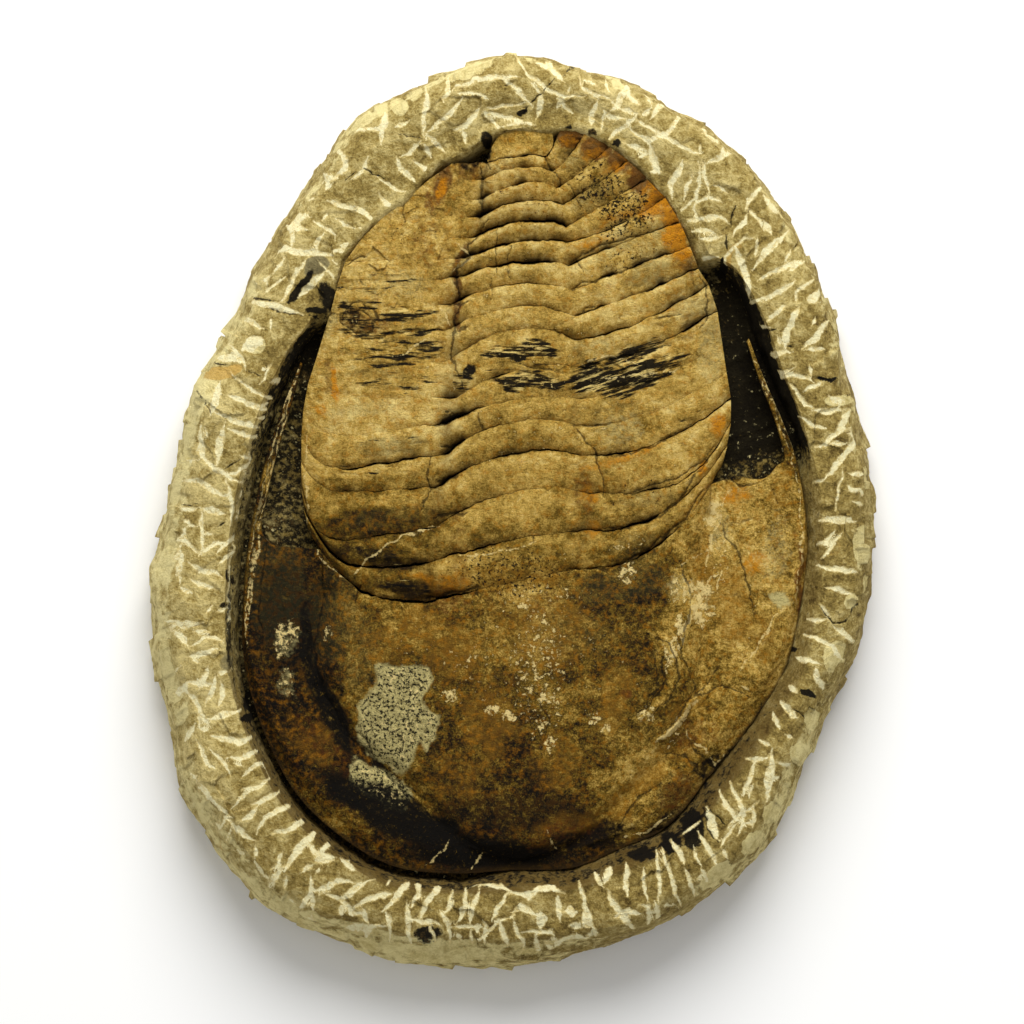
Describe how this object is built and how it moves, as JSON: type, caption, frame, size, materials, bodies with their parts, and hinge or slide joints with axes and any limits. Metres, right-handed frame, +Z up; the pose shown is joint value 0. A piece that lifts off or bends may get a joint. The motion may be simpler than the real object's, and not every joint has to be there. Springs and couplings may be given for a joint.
{
  "type": "fossil holmia trilobite",
  "caption": "Large fossil trilobite, tail to head, lying in the chiselled hollow of an egg-shaped mudstone slab; rests flat on its back.",
  "frame": {"origin": "middle of the slab's flat underside, on the surface it rests on", "axes": "+Z up, out of the slab's fossil face; +Y from the middle towards the animal's tail; +X to the right when the slab is seen from above with the tail at the top"},
  "size_m": [0.243, 0.306, 0.0395],
  "materials": {
    "mudstone": "matte olive-tan mudstone with cream chisel marks",
    "head_stone": "satin dark brown-olive fossil shell, stained and speckled",
    "ring_stone": "satin golden-tan fossil shell with dark crevices and rust stains"
  },
  "bodies": {
    "root": {"matrix_slab": "mudstone", "head_shield": "head_stone", "thorax_segment_01": "ring_stone", "thorax_segment_02": "ring_stone", "thorax_segment_03": "ring_stone", "thorax_segment_04": "ring_stone", "thorax_segment_05": "ring_stone", "thorax_segment_06": "ring_stone", "thorax_segment_07": "ring_stone", "thorax_segment_08": "ring_stone", "thorax_segment_09": "ring_stone", "thorax_segment_10": "ring_stone", "thorax_segment_11": "ring_stone", "thorax_segment_12": "ring_stone", "thorax_segment_13": "ring_stone", "thorax_segment_14": "ring_stone", "thorax_segment_15": "ring_stone", "thorax_segment_16": "ring_stone", "tail_shield": "ring_stone"}
  },
  "joints": []
}
